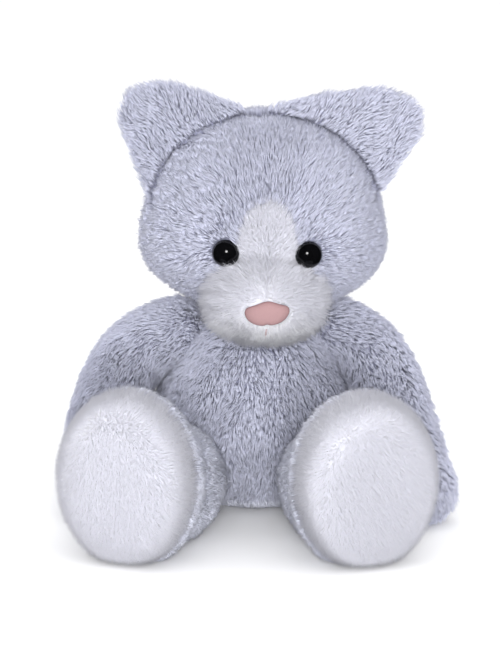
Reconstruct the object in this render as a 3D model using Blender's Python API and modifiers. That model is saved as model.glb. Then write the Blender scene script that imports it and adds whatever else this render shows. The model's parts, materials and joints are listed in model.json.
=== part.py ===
"""Sitting plush cat, about 22 cm tall: sewn fabric panels over fibre stuffing.

Metres, +Z up, the cat faces -Y.  The origin is the centre of the flat seat face
on the surface that the toy sits on.  Each moving piece hangs on an empty that
stands on its joint.
"""

import math

import bmesh
import bpy
from mathutils import Euler, Matrix, Vector
from mathutils.bvhtree import BVHTree

# ---------------------------------------------------------------- dimensions

FABRIC = 0.0024  # backing cloth with its pile pressed flat
SEAM_GAP = 0.0007  # between two panels, and between a panel and its stuffing
THREAD = 0.0012  # diameter of the hand-sewing thread
RING_DEPTH = 0.5  # of a root's radius, from its centre into the torso
SOCKET_GAP = 0.0026  # limb root to torso: the thread ring lies between them

TORSO_CENTRE = Vector((0, 0, 0.052))
BELLY = (Vector((0, 0.002, 0.042)), Vector((0.054, 0.050, 0.049)))
CHEST = (Vector((0, 0.003, 0.076)), Vector((0.037, 0.034, 0.027)))
BASE_SEAM_Z = 0.010

NECK = Vector((0.0017, 0.004, 0.106))
NECK_RADIUS = 0.012
HEAD_ROLL = math.radians(1.5)
HEAD_TURN = math.radians(2)
# Head lumps, from the neck pivot.
CRANIUM = (Vector((0, -0.006, 0.055)), Vector((0.058, 0.053, 0.047)))
CHEEKS = (Vector((0, -0.010, 0.035)), Vector((0.0605, 0.048, 0.032)))
MUZZLE = (Vector((0, -0.050, 0.0105)), Vector((0.0272, 0.026, 0.0195)))
MUZZLE_AXIS = Vector((0, -0.90, -0.44)).normalized()
MUZZLE_SEAM = 0.0575  # from the head's centre along the muzzle's axis
EAR_SEAM_Y = -0.016  # the coronal seam that holds the ears
BLAZE_TOP = Vector((0, -0.05, 0.066))
BLAZE_FOOT_HALF = 0.0145
BLAZE_HEIGHT = 0.036

EYE_DIAMETER = 0.014
EYE_DOME = 0.0055
EYE_POST = 0.0036
EYE_SPREAD = 0.0208
EYE_HEIGHT = 0.0365
WASHER_DIAMETER = 0.0165
NOSE_SIZE = Vector((0.0225, 0.0042, 0.0125))
NOSE_HEIGHT = 0.0095
NOSE_BEND = 0.022

EAR_BASE = 0.080
EAR_LENGTH = {"left": 0.0635, "right": 0.0670}
EAR_BURIED = 0.0270
EAR_THICKNESS = 0.012
EAR_CUP = 0.006
EAR_SWEEP = 0.010
EAR_LEAN = {"left": math.radians(38), "right": math.radians(48)}
EAR_TILT = math.radians(6)
EAR_CLEARANCE = 0.0022
EAR_PLACE = Vector((0.0395, -0.016, 0.0895))  # middle of the ear's root, from the neck

SHOULDER = Vector((0.042, 0.0, 0.091))
ARM_RADIUS = 0.0155
PAW_RADIUS = 0.0172
ARM_CURVES = {
    "left": (
        Vector((0, 0, 0)),
        Vector((0.036, -0.005, -0.005)),
        Vector((0.041, -0.018, -0.044)),
        Vector((0.041, -0.036, -0.0735)),
    ),
    "right": (
        Vector((0, 0, 0)),
        Vector((0.0305, -0.005, -0.008)),
        Vector((0.030, -0.026, -0.044)),
        Vector((0.0415, -0.049, -0.0735)),
    ),
}

HIP = {"left": Vector((0.034, -0.040, 0.024)), "right": Vector((0.031, -0.041, 0.024))}
HIP_RADIUS = 0.016
LEG_SPLAY = {"left": math.radians(23), "right": math.radians(16)}
CALF = (Vector((0, -0.036, 0.003)), Vector((0.026, 0.036, 0.028)))
FOOT = (Vector((0, -0.075, 0.0165)), Vector((0.0335, 0.031, 0.0415)))
SOLE_FRONT = 0.0920
SOLE_ROUNDING = 0.009
SOLE_SEAM = 0.0770

TAIL_ROOT = Vector((0.0085, 0.0515, 0.0160))
TAIL_RADIUS = 0.0105
TAIL_CURVE = (
    Vector((0, 0, 0)),
    Vector((0.008, 0.022, -0.003)),
    Vector((0.030, 0.024, -0.004)),
    Vector((0.052, 0.014, -0.004)),
)

SIDES = {"left": -1, "right": 1}

# ----------------------------------------------------------------- materials

GREY_PLUSH = ("grey_plush", (0.47, 0.49, 0.60), 0.95, 0.0)
WHITE_PLUSH = ("white_plush", (0.82, 0.83, 0.88), 0.95, 0.0)
PINK_SUEDE = ("pink_suede", (0.72, 0.42, 0.40), 0.85, 0.0)
EYE_PLASTIC = ("eye_plastic", (0.01, 0.01, 0.012), 0.12, 0.0)
WASHER_PLASTIC = ("washer_plastic", (0.80, 0.80, 0.78), 0.5, 0.0)
FIBRE = ("polyester_fibre", (0.9, 0.9, 0.9), 1.0, 0.0)
GREY_THREAD = ("grey_thread", (0.36, 0.38, 0.46), 0.7, 0.0)
PINK_THREAD = ("pink_thread", (0.50, 0.26, 0.27), 0.7, 0.0)
POUCH_CLOTH = ("pouch_cloth", (0.75, 0.74, 0.70), 0.9, 0.0)


def material(spec):
    name, colour, roughness, metallic = spec
    found = bpy.data.materials.get(name)
    if found:
        return found
    made = bpy.data.materials.new(name)
    made.use_nodes = True
    shader = made.node_tree.nodes["Principled BSDF"]
    shader.inputs["Base Color"].default_value = (*colour, 1)
    shader.inputs["Roughness"].default_value = roughness
    shader.inputs["Metallic"].default_value = metallic
    return made


# ------------------------------------------------------------ scene handling


def clear_scene():
    for obj in list(bpy.data.objects):
        bpy.data.objects.remove(obj)


def collection(name):
    made = bpy.data.collections.new(name)
    bpy.context.scene.collection.children.link(made)
    return made


def joint_empty(name, location, rotation=(0, 0, 0), parent=None):
    """An empty on a joint. Location and rotation are in its parent's frame."""
    empty = bpy.data.objects.new(name, None)
    empty.empty_display_size = 0.02
    empty.location = location
    empty.rotation_euler = rotation
    empty.parent = parent
    PARTS.objects.link(empty)
    return empty


def add_object(name, data, spec, parent=None, where=None):
    """A named object of the cat with one material, in its parent's frame."""
    obj = bpy.data.objects.new(name, data)
    data.materials.append(material(spec))
    obj.parent = parent
    (where or PARTS).objects.link(obj)
    return obj


def mesh_from(name, bm):
    mesh = bpy.data.meshes.new(name)
    bm.to_mesh(mesh)
    bm.free()
    mesh.shade_smooth()
    mesh.set_sharp_from_angle(angle=math.radians(50))
    return mesh


def cutter(name, bm, parent=None, location=(0, 0, 0)):
    """A helper for Booleans, left out of the cat itself."""
    mesh = bpy.data.meshes.new(name)
    bm.to_mesh(mesh)
    bm.free()
    obj = bpy.data.objects.new(name, mesh)
    obj.parent = parent
    obj.location = location
    obj.hide_render = True
    obj.display_type = "WIRE"
    CUTTERS.objects.link(obj)
    return obj


def subtract(obj, tool):
    cut = obj.modifiers.new("cut_" + tool.name, "BOOLEAN")
    cut.operation = "DIFFERENCE"
    cut.solver = "EXACT"
    cut.object = tool


# --------------------------------------------------------------- soft shapes


def unit_sphere(segments, rings, pole=(0, 0, 1), crowding=0.0):
    """A ball of radius 1. Crowding draws its rings towards the pole."""
    bm = bmesh.new()
    bmesh.ops.create_uvsphere(bm, u_segments=segments, v_segments=rings, radius=1)
    turn = Vector(pole).to_track_quat("Z", "Y")
    for vert in bm.verts:
        angle = math.acos(max(-1.0, min(1.0, vert.co.z)))
        around = math.atan2(vert.co.y, vert.co.x)
        angle -= crowding * math.sin(angle)
        flat = math.sin(angle)
        vert.co = (flat * math.cos(around), flat * math.sin(around), math.cos(angle))
        vert.co.rotate(turn)
    return bm


def inside_lumps(point, lumps, softness):
    """Above 0 inside the smooth union of the ellipsoids."""
    total = 0.0
    for centre, radii in lumps:
        offset = point - centre
        reach = math.sqrt(sum((offset[k] / radii[k]) ** 2 for k in range(3)))
        total += math.exp((1 - reach) / softness)
    return total - 1


def lump_form(centre, lumps, bm, softness=0.12, reach=0.13):
    """Moves a unit ball's points out to the smooth union of the lumps."""
    for vert in bm.verts:
        direction = vert.co.normalized()
        inner, outer = 0.0, reach
        while outer > 0 and inside_lumps(centre + direction * outer, lumps, softness) < 0:
            inner, outer = outer, outer - 0.001
        low, high = outer, outer + 0.001
        for _ in range(12):
            middle = (low + high) / 2
            if inside_lumps(centre + direction * middle, lumps, softness) > 0:
                low = middle
            else:
                high = middle
        vert.co = centre + direction * low
    return bm


def bezier(points, t):
    a, b, c, d = points
    s = 1 - t
    return a * s**3 + b * (3 * s * s * t) + c * (3 * s * t * t) + d * t**3


def bezier_direction(points, t):
    a, b, c, d = points
    s = 1 - t
    return ((b - a) * (s * s) + (c - b) * (2 * s * t) + (d - c) * (t * t)).normalized()


def limb_form(curve, root_radius, tip_radius, segments, rings):
    """A closed sausage along a Bezier line with round ends."""
    length = sum(
        (bezier(curve, (i + 1) / 20) - bezier(curve, i / 20)).length for i in range(20)
    )
    root_arc, tip_arc = root_radius * math.pi / 2, tip_radius * math.pi / 2
    bm = unit_sphere(segments, rings)
    for vert in bm.verts:
        along = math.acos(max(-1.0, min(1.0, vert.co.z))) / math.pi
        travel = along * (root_arc + length + tip_arc)
        around = math.atan2(vert.co.y, vert.co.x)
        if travel < root_arc:
            turn = travel / root_radius
            t, shift, radius = 0.0, -root_radius * math.cos(turn), root_radius * math.sin(turn)
        elif travel < root_arc + length:
            t = (travel - root_arc) / length
            ease = t * t * (3 - 2 * t)
            shift, radius = 0.0, root_radius + (tip_radius - root_radius) * ease
        else:
            turn = (travel - root_arc - length) / tip_radius
            t, shift, radius = 1.0, tip_radius * math.sin(turn), tip_radius * math.cos(turn)
        forward = bezier_direction(curve, t)
        side = forward.cross(Vector((0, 1, 0))).normalized()
        other = side.cross(forward)
        ring = side * math.cos(around) + other * math.sin(around)
        vert.co = bezier(curve, t) + forward * shift + ring * radius
    return bm


def rest_on_floor(bm, floor_z):
    """Presses everything below the floor's height flat onto it."""
    for vert in bm.verts:
        vert.co.z = max(vert.co.z, floor_z)


def recalc(bm):
    bmesh.ops.remove_doubles(bm, verts=bm.verts, dist=1e-6)
    bmesh.ops.triangulate(bm, faces=bm.faces)
    bmesh.ops.recalc_face_normals(bm, faces=bm.faces)
    return bm


def keep_side(bm, point, normal, gap=SEAM_GAP):
    """Cuts the surface by a plane and keeps the side that the normal points to."""
    normal = Vector(normal).normalized()
    geometry = bm.verts[:] + bm.edges[:] + bm.faces[:]
    bmesh.ops.bisect_plane(
        bm,
        geom=geometry,
        dist=1e-5,
        plane_co=Vector(point) + normal * (gap / 2),
        plane_no=normal,
        clear_inner=True,
    )
    bmesh.ops.remove_doubles(bm, verts=bm.verts, dist=2e-4)


def thicken(bm, inward, cuts):
    """Gives an open surface an inner side that stays within the cuts, and closes the rim."""
    inner = {}
    for vert in bm.verts[:]:
        place = vert.co + vert[inward]
        for point, normal in cuts:
            normal = Vector(normal).normalized()
            short = (place - Vector(point)).dot(normal) - SEAM_GAP / 2
            place -= normal * min(0.0, short)
        inner[vert] = bm.verts.new(place)
    rim = [loop for edge in bm.edges if edge.is_boundary for loop in edge.link_loops]
    walls = [(loop.vert, loop.link_loop_next.vert) for loop in rim]
    for face in bm.faces[:]:
        bm.faces.new([inner[vert] for vert in reversed(face.verts)])
    for start, end in walls:
        bm.faces.new((end, start, inner[start], inner[end]))


def panel(name, form, cuts, spec, parent=None):
    """One sewn panel: the part of the form that the cuts leave, as thick cloth."""
    bm = form.copy()
    inward = bm.verts.layers.float_vector.new("inward")
    bm.normal_update()
    for vert in bm.verts:
        vert[inward] = vert.normal * -FABRIC
    for point, normal in cuts:
        keep_side(bm, point, normal)
    thicken(bm, inward, cuts)
    bm.verts.layers.float_vector.remove(inward)
    return add_object(name, mesh_from(name, bm), spec, parent)


def stuffing(name, form, spec, parent=None, inset=FABRIC + SEAM_GAP):
    """The form shrunk along its normals, so that it fills the skin with a gap."""
    return add_object(name, mesh_from(name, swollen(form, -inset)), spec, parent)


def swollen(form, distance):
    """A copy of a closed form, moved out along its normals."""
    bm = form.copy()
    bm.normal_update()
    moves = [vert.normal * distance for vert in bm.verts]
    for vert, move in zip(bm.verts, moves):
        vert.co += move
    return bm


def ball(radius, segments=16, rings=10):
    bm = bmesh.new()
    bmesh.ops.create_uvsphere(bm, u_segments=segments, v_segments=rings, radius=radius)
    return bm


def stitch_ring(name, root_radius, inward, parent):
    """A ring of sewing thread in a socket, on the torso's side of the limb's round root."""
    middle = root_radius + SOCKET_GAP / 2
    shift = middle * RING_DEPTH
    radius = math.sqrt(middle**2 - shift**2)
    bpy.ops.mesh.primitive_torus_add(
        major_segments=16,
        minor_segments=4,
        major_radius=radius,
        minor_radius=THREAD / 2,
    )
    made = bpy.context.object
    mesh = made.data
    bpy.data.objects.remove(made)
    inward = Vector(inward).normalized()
    mesh.transform(inward.to_track_quat("Z", "Y").to_matrix().to_4x4())
    mesh.transform(Matrix.Translation(inward * shift))
    mesh.shade_smooth()
    return add_object(name, mesh, GREY_THREAD, parent)


def thread_line(name, points, thickness, spec, parent=None):
    """A stitched thread along points that already follow the cloth."""
    curve = bpy.data.curves.new(name, "CURVE")
    curve.dimensions = "3D"
    curve.bevel_depth = thickness / 2
    curve.bevel_resolution = 1
    curve.use_fill_caps = True
    spline = curve.splines.new("POLY")
    spline.points.add(len(points) - 1)
    for target, point in zip(spline.points, points):
        target.co = (*point, 1)
    return add_object(name, curve, spec, parent)


def surface_hit(tree, start, direction):
    place, normal, _, _ = tree.ray_cast(Vector(start), Vector(direction).normalized())
    return place, normal


# ---------------------------------------------------------------------- torso


def build_torso():
    form = lump_form(TORSO_CENTRE, (BELLY, CHEST), unit_sphere(22, 14))
    rest_on_floor(form, 0)
    recalc(form)
    front, left = (0, -1, 0), (-1, 0, 0)
    middle = Vector((0, 0, 0))
    side_seam = Vector((0, 0.004, 0))
    above_base = ((0, 0, BASE_SEAM_Z), (0, 0, 1))
    skins = []
    for side, sign in SIDES.items():
        outward = (sign, 0, 0)
        for face, normal in (("front", (0, -1, 0)), ("back", (0, 1, 0))):
            cuts = ((middle, outward), (side_seam, normal), above_base)
            skins.append(panel(f"torso_{face}_{side}", form, cuts, GREY_PLUSH))
    base = panel("base_panel", form, (((0, 0, BASE_SEAM_Z), (0, 0, -1)),), GREY_PLUSH)
    filling = stuffing("torso_stuffing", form, FIBRE)
    pouch_top = 0.024
    pouch = stuffing(
        "pellet_pouch", form, POUCH_CLOTH, inset=FABRIC + 2 * SEAM_GAP + 0.0014
    )
    slice_between(pouch, high=pouch_top)
    slice_between(filling, low=pouch_top + SEAM_GAP)
    tree = BVHTree.FromBMesh(form)
    build_closing_stitch(tree)
    form.free()
    return [*skins, base, filling, pouch]


def slice_between(obj, low=None, high=None):
    """Cuts a closed solid flat at a height, and closes the cut."""
    bm = bmesh.new()
    bm.from_mesh(obj.data)
    for height, normal in ((low, (0, 0, 1)), (high, (0, 0, -1))):
        if height is None:
            continue
        keep_side(bm, (0, 0, height), normal, gap=0)
        rim = [edge for edge in bm.edges if edge.is_boundary]
        bmesh.ops.contextual_create(bm, geom=rim)
    recalc(bm)
    bm.to_mesh(obj.data)
    bm.free()


def build_closing_stitch(tree):
    """The ladder stitch that closes the back after stuffing."""
    stitches, low, high, sway = 16, 0.036, 0.074, 0.0016
    points = []
    for i in range(stitches + 1):
        height = low + (high - low) * i / stitches
        across = sway if i % 2 else -sway
        place, normal = surface_hit(tree, (across, 0.2, height), (0, -1, 0))
        points.append(place + normal * (THREAD / 2 + 0.0005))
    thread_line("back_closing_stitch", points, THREAD * 0.7, GREY_THREAD)


# ----------------------------------------------------------------------- head


def head_cuts(side_sign):
    """Planes that bound one side of the face: centre seam, blaze edge, muzzle, ears."""
    outward = Vector((side_sign, 0, 0))
    foot = Vector((side_sign * BLAZE_FOOT_HALF, 0, BLAZE_TOP.z - BLAZE_HEIGHT))
    edge = Vector((BLAZE_TOP.x, 0, BLAZE_TOP.z)) - foot
    blaze_normal = Vector((edge.z * side_sign, 0, -edge.x * side_sign)).normalized()
    return {
        "centre": ((0, 0, 0), outward),
        "blaze": (BLAZE_TOP, blaze_normal),
        "muzzle": (CRANIUM[0] + MUZZLE_AXIS * MUZZLE_SEAM, -MUZZLE_AXIS),
        "ear": ((0, EAR_SEAM_Y, 0), (0, -1, 0)),
    }


def flipped(cut):
    point, normal = cut
    return point, -Vector(normal)


def build_head(parent):
    mould = unit_sphere(26, 16, MUZZLE_AXIS, crowding=0.4)
    form = lump_form(CRANIUM[0], (CRANIUM, CHEEKS, MUZZLE), mould, softness=0.10)
    recalc(form)
    cuts = {side: head_cuts(sign) for side, sign in SIDES.items()}
    skins = []
    for side in SIDES:
        own = cuts[side]
        face = (own["centre"], own["blaze"], own["muzzle"], own["ear"])
        back = (own["centre"], flipped(own["ear"]))
        muzzle = (own["centre"], flipped(own["muzzle"]))
        skins += [
            panel(f"face_{side}", form, face, GREY_PLUSH, parent),
            panel(f"head_back_{side}", form, back, GREY_PLUSH, parent),
            panel(f"muzzle_{side}", form, muzzle, WHITE_PLUSH, parent),
        ]
    wedge = (
        flipped(cuts["left"]["blaze"]),
        flipped(cuts["right"]["blaze"]),
        cuts["left"]["muzzle"],
        cuts["left"]["ear"],
    )
    for name, up in (("blaze_panel", 1), ("chin_panel", -1)):
        half = (*wedge, (MUZZLE[0], (0, 0, up)))
        skins.append(panel(name, form, half, WHITE_PLUSH, parent))
    skins.append(stuffing("head_stuffing", form, FIBRE, parent))
    tree = BVHTree.FromBMesh(form)
    for side, sign in SIDES.items():
        build_eye(side, sign, tree, parent, skins)
    build_nose(form, tree, parent)
    for side, sign in SIDES.items():
        build_ear(side, sign, form, parent)
    form.free()
    return skins


def cylinder(bm, radius, start, end, segments=20, top_radius=None):
    bmesh.ops.create_cone(
        bm,
        cap_ends=True,
        segments=segments,
        radius1=radius,
        radius2=radius if top_radius is None else top_radius,
        depth=end - start,
        matrix=Matrix.Translation((0, 0, (start + end) / 2)),
    )


def turned(name, profile, spec, parent, matrix, steps=16):
    """A solid turned from (radius, height) points that run from the top down."""
    mesh = bpy.data.meshes.new(name)
    verts = [(radius, 0, height) for radius, height in profile]
    edges = [(i, i + 1) for i in range(len(verts) - 1)]
    if profile[0][0] > 0:
        edges.append((len(verts) - 1, 0))
    mesh.from_pydata(verts, edges, [])
    obj = add_object(name, mesh, spec, parent)
    obj.matrix_local = matrix
    screw = obj.modifiers.new("turn", "SCREW")
    screw.steps = steps
    screw.render_steps = steps
    screw.use_merge_vertices = True
    screw.merge_threshold = 0.0001
    screw.use_smooth_shade = True
    return obj


def build_eye(side, sign, tree, parent, skins):
    """A domed plastic eye whose post goes through the cloth to a lock washer."""
    start = (sign * EYE_SPREAD, -0.2, EYE_HEIGHT)
    place, normal = surface_hit(tree, start, (0, 1, 0))
    aim = (normal + Vector((0, -0.8, 0))).normalized()
    turn = aim.to_track_quat("Z", "Y").to_matrix().to_4x4()
    seat = Matrix.Translation(place + aim * 0.0012) @ turn
    radius, post, length = EYE_DIAMETER / 2, EYE_POST / 2, 0.0125
    dome = [
        (radius * math.cos(a), EYE_DOME * math.sin(a))
        for a in (math.pi / 2 * (1 - i / 5) for i in range(6))
    ]
    dome[0] = (0, EYE_DOME)
    barbs = []
    for i in range(2):
        top = -0.0070 - i * 0.0024
        barbs += [(post, top), (post + 0.0004, top - 0.0010), (post, top - 0.0012)]
    profile = [*dome, (radius - 0.0008, -0.0008), (post, -0.0008), *barbs, (post, -length), (0, -length)]
    turned(f"eye_{side}", profile, EYE_PLASTIC, parent, seat)
    hole = post + 0.0004 + 0.0004
    deep, thick, rim = -0.0053, 0.0014, WASHER_DIAMETER / 2
    washer = [(hole, deep), (rim - 0.002, deep), (rim, deep - 0.0006)]
    washer += [(rim, deep - thick), (hole + 0.001, deep - thick), (hole, deep - thick + 0.0005)]
    turned(f"eye_washer_{side}", washer, WASHER_PLASTIC, parent, seat)
    pocket = bmesh.new()
    cylinder(pocket, hole + 0.0003, -0.0165, 0.004, 16)
    post_hole = cutter(f"post_hole_{side}", pocket, parent)
    room = bmesh.new()
    cylinder(room, rim + 0.0006, deep - thick - 0.0006, 0.012, 20)
    washer_room = cutter(f"washer_room_{side}", room, parent)
    flat = bmesh.new()
    cylinder(flat, radius + 0.0006, -0.0014, 0.012, 20)
    eye_seat = cutter(f"eye_seat_{side}", flat, parent)
    for tool in (post_hole, washer_room, eye_seat):
        tool.matrix_local = seat
    for skin in skins:
        if skin.name == "head_stuffing":
            subtract(skin, post_hole)
            subtract(skin, washer_room)
        elif skin.name == f"face_{side}":
            subtract(skin, eye_seat)
            subtract(skin, post_hole)


def build_nose(form, tree, parent):
    """The suede nose, a padded rounded triangle, with the stitch that runs down from it."""
    place, normal = surface_hit(tree, (0, -0.2, NOSE_HEIGHT), (0, 1, 0))
    aim = (normal + Vector((0, -0.5, 0.1))).normalized()
    turn = aim.to_track_quat("Y", "Z").to_matrix().to_4x4()
    bm = unit_sphere(20, 10)
    half = NOSE_SIZE / 2
    for vert in bm.verts:
        x, y, z = vert.co
        pinch = 1 - 0.28 * max(0.0, -z)
        height = half.z * (z if z < 0 else z * (0.8 + 0.15 * math.cos(2.6 * x)))
        sag = (x * half.x) ** 2 / (2 * NOSE_BEND)
        vert.co = (x * half.x * pinch, y * half.y - sag, height)
    nose = add_object("nose_patch", mesh_from("nose_patch", bm), PINK_SUEDE, parent)
    nose.matrix_local = Matrix.Translation(place + aim * half.y * 0.7) @ turn
    subtract(nose, cutter("nose_back_cut", swollen(form, 0.0006), parent))
    points = []
    for i in range(5):
        height = NOSE_HEIGHT - 0.0085 - i * 0.0012
        spot, out = surface_hit(tree, (0, -0.2, height), (0, 1, 0))
        points.append(spot + out * 0.0011)
    thread_line("mouth_stitch", points, 0.001, PINK_THREAD, parent)


def ear_half(face_sign, side):
    """Half of a cupped triangular pad: one cloth, its pile filling it to the seam."""
    bm = unit_sphere(18, 12)
    seam = SEAM_GAP / EAR_THICKNESS
    keep_side(bm, (0, 0, 0), (0, face_sign, 0), gap=2 * seam)
    flat = {}
    for vert in bm.verts[:]:
        place = (vert.co.x, face_sign * seam, vert.co.z)
        flat[vert] = vert if vert.is_boundary else bm.verts.new(place)
    for face in bm.faces[:]:
        bm.faces.new([flat[vert] for vert in reversed(face.verts)])
    for vert in bm.verts:
        x, y, z = vert.co
        rise = max(0.0, (z + 1) / 2)
        radial = math.sqrt(max(1e-9, 1 - z * z))
        taper = 1 - 0.74 * rise**1.15
        across = x / radial * EAR_BASE / 2 * taper * min(1.0, radial * 1.5)
        cup = EAR_CUP * (across / (EAR_BASE / 2)) ** 2
        depth = y * EAR_THICKNESS / 2 * (1.1 - 0.35 * rise) - cup
        height = rise * EAR_LENGTH[side] - EAR_BURIED
        vert.co = (across + SIDES[side] * EAR_SWEEP * rise * rise, depth, height)
    return recalc(bm)


def build_ear(side, sign, head_form, head):
    lean = Euler((EAR_TILT, sign * EAR_LEAN[side], 0))
    place = Vector((sign * EAR_PLACE.x, EAR_PLACE.y, EAR_PLACE.z))
    hinge = joint_empty(f"ear_hinge_{side}", place, lean, head)
    tool = cutter(f"ear_root_cut_{side}", swollen(head_form, EAR_CLEARANCE), head)
    for face, face_sign in (("front", -1), ("back", 1)):
        name = f"ear_{face}_{side}"
        half = mesh_from(name, ear_half(face_sign, side))
        subtract(add_object(name, half, GREY_PLUSH, hinge), tool)


# ---------------------------------------------------------------------- limbs


def mirrored(points, sign):
    return tuple(Vector((p.x * sign, p.y, p.z)) for p in points)


def build_arm(side, sign):
    place = Vector((SHOULDER.x * sign, SHOULDER.y, SHOULDER.z))
    shoulder = joint_empty(f"shoulder_{side}", place)
    curve = mirrored(ARM_CURVES[side], sign)
    form = limb_form(curve, ARM_RADIUS, PAW_RADIUS, 14, 12)
    rest_on_floor(form, -SHOULDER.z)
    recalc(form)
    seam = (curve[3] - curve[0]).cross(Vector((sign, 0, 0))).normalized()
    for face, normal in (("front", seam), ("back", -seam)):
        facing = normal if (normal.y < 0) == (face == "front") else -normal
        panel(f"arm_{face}_{side}", form, ((curve[0], facing),), GREY_PLUSH, shoulder)
    stuffing(f"arm_stuffing_{side}", form, FIBRE, shoulder)
    form.free()
    ring = stitch_ring(f"shoulder_stitching_{side}", ARM_RADIUS, (-sign, 0.2, -0.4), None)
    ring.location = place
    return cutter(f"armhole_{side}", ball(ARM_RADIUS + SOCKET_GAP), None, place)


def build_leg(side, sign):
    place = Vector((HIP[side].x * sign, HIP[side].y, HIP[side].z))
    splay = joint_empty(f"hip_splay_{side}", place, (0, 0, -sign * -LEG_SPLAY[side]))
    hip = joint_empty(f"hip_{side}", (0, 0, 0), (0, 0, 0), splay)
    hip_ball = (Vector((0, 0, 0)), Vector((HIP_RADIUS,) * 3))
    middle = CALF[0] + Vector((0, -0.008, 0.004))
    form = lump_form(middle, (hip_ball, CALF, FOOT), unit_sphere(20, 12), softness=0.14)
    for vert in form.verts:
        past = max(0.0, -vert.co.y - SOLE_FRONT + SOLE_ROUNDING)
        vert.co.y += past - SOLE_ROUNDING * math.tanh(past / SOLE_ROUNDING)
    rest_on_floor(form, -place.z)
    recalc(form)
    seam_point = Vector((0, -SOLE_SEAM, 0))
    seam_normal = Vector((0, 1, -0.10)).normalized()
    for face, outward in (("inner", (-sign, 0, 0)), ("outer", (sign, 0, 0))):
        cuts = (((0, 0, 0), outward), (seam_point, seam_normal))
        panel(f"leg_{face}_{side}", form, cuts, GREY_PLUSH, hip)
    panel(f"sole_{side}", form, ((seam_point, -seam_normal),), WHITE_PLUSH, hip)
    stuffing(f"leg_stuffing_{side}", form, FIBRE, hip)
    form.free()
    stitch_ring(f"hip_stitching_{side}", HIP_RADIUS, (0, 1, 0), splay)
    return cutter(f"leg_hole_{side}", ball(HIP_RADIUS + SOCKET_GAP), None, place)


def build_tail():
    swing = joint_empty("tail_swing", TAIL_ROOT)
    tail = joint_empty("tail_lift", (0, 0, 0), (0, 0, 0), swing)
    form = limb_form(TAIL_CURVE, TAIL_RADIUS, TAIL_RADIUS, 12, 10)
    rest_on_floor(form, -TAIL_ROOT.z)
    recalc(form)
    seam = Vector((0, 0, -0.001))
    for face, normal in (("upper", (0, 0, 1)), ("lower", (0, 0, -1))):
        panel(f"tail_{face}", form, ((seam, normal),), GREY_PLUSH, tail)
    stuffing("tail_stuffing", form, FIBRE, tail)
    form.free()
    stitch_ring("tail_stitching", TAIL_RADIUS, (0, -1, 0), swing)
    return cutter("tail_hole", ball(TAIL_RADIUS + SOCKET_GAP), None, TAIL_ROOT)


def build_neck():
    """A hard-packed ball of fibre in the neck, inside the ring that sews the head on."""
    turn = joint_empty("neck_turn", NECK)
    stitch_ring("neck_stitching", NECK_RADIUS, (0, 0, 1), turn)
    nod = joint_empty("neck_nod", (0, 0, 0), (0, 0, 0), turn)
    packed = mesh_from("neck_stuffing", ball(NECK_RADIUS))
    add_object("neck_stuffing", packed, FIBRE, nod)
    head = joint_empty("head", (0, 0, 0), (0, HEAD_ROLL, HEAD_TURN), nod)
    hole = cutter("neck_hole", ball(NECK_RADIUS + SOCKET_GAP), None, NECK)
    return head, hole


def build_cat():
    head, neck_hole = build_neck()
    holes = [neck_hole, build_tail()]
    for side, sign in SIDES.items():
        holes += [build_arm(side, sign), build_leg(side, sign)]
    for hole in holes:
        TORSO_HOLES.objects.link(hole)
    for piece in build_torso():
        cut = piece.modifiers.new("limb_holes", "BOOLEAN")
        cut.operation = "DIFFERENCE"
        cut.solver = "EXACT"
        cut.operand_type = "COLLECTION"
        cut.collection = TORSO_HOLES
    for skin in build_head(head):
        if not skin.name.startswith(("muzzle", "blaze")):
            subtract(skin, neck_hole)


clear_scene()
PARTS = collection("plush_cat")
CUTTERS = collection("cutters")
TORSO_HOLES = collection("torso_holes")
build_cat()
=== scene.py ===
"""Looks of the sitting plush cat: every cloth panel becomes a backing cloth with a brushed pile.

Metres, +Z up, the cat faces -Y.  The forms repeat the part's dimensions at a finer
resolution.  Each one is brushed as a whole, and its hairs are then dealt out to its panels.
Every random draw is seeded, so each run gives the same hairs.
"""

import json
import math
from collections import namedtuple

import bmesh
import bpy
import numpy as np
from mathutils import Euler, Matrix, Vector
from mathutils.kdtree import KDTree

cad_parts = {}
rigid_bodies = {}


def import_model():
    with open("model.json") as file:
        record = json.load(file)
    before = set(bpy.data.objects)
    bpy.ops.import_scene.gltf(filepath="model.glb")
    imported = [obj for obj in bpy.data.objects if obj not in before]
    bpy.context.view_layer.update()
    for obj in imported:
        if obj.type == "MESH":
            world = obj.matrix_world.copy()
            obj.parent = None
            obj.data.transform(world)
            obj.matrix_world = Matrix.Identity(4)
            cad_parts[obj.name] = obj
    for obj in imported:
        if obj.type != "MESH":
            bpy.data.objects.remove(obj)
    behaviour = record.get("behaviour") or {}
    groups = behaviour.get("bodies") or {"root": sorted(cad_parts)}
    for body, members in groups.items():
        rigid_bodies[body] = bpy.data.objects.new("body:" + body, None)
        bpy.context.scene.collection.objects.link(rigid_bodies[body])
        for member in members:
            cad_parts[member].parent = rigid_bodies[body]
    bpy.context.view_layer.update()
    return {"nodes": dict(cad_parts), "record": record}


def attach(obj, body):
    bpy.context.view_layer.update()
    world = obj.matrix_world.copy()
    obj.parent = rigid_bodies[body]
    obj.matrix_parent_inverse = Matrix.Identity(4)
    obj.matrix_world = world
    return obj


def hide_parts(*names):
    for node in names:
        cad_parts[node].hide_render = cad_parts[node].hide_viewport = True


# The startup scene's own objects go, so that only the cat is left.
for startup in list(bpy.data.objects):
    bpy.data.objects.remove(startup)
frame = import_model()

# ---------------------------------------------------------------- dimensions

# A lump is an ellipsoid. The torso, the head and the legs are smooth unions of lumps.
Lump = namedtuple("Lump", "centre radii")

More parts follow.
